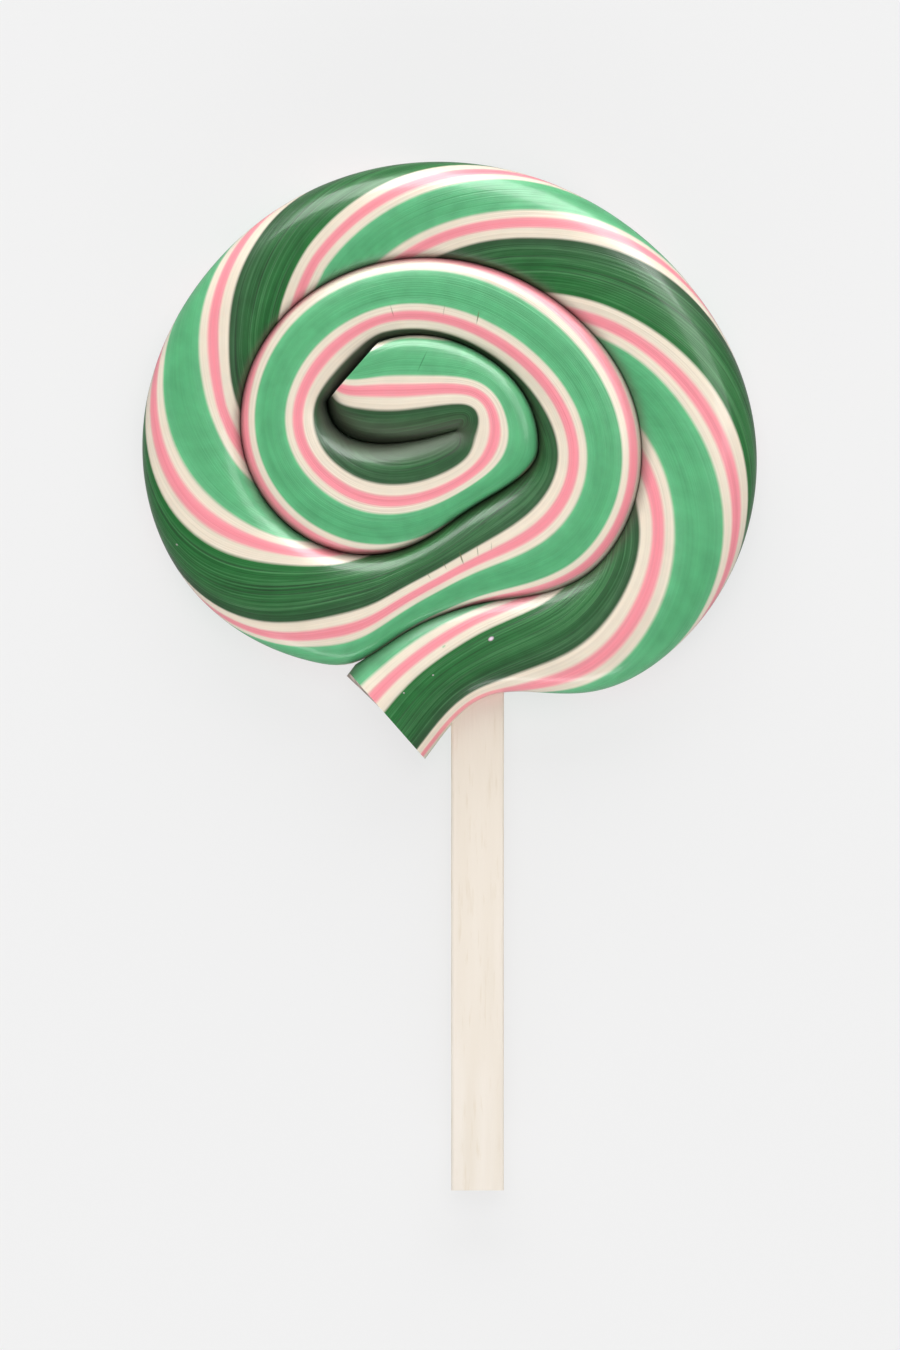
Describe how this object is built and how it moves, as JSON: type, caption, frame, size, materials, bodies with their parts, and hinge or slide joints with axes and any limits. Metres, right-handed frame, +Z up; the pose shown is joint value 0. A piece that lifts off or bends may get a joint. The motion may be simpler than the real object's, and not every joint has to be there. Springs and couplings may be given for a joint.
{
  "type": "swirl lollipop",
  "caption": "Flat swirl of twisted hard candy rope in green, cream and pink stripes, with a folded start, a slanted cut tail and a square-cut flat wooden stick.",
  "frame": {"origin": "on the surface it lies on, under the centre of the whole lollipop's bounding box", "axes": "+Z up out of the shown face, +Y from the stick's foot to the top of the swirl, +X to the right as the picture shows it"},
  "size_m": [0.0736, 0.1234, 0.0105],
  "materials": {
    "candy": "glossy pulled sugar; stands for green, cream and pink stripes",
    "stick": "bare pale wood, fine sawn grain"
  },
  "bodies": {
    "root": {"candy": "candy", "stick": "stick"}
  },
  "joints": []
}
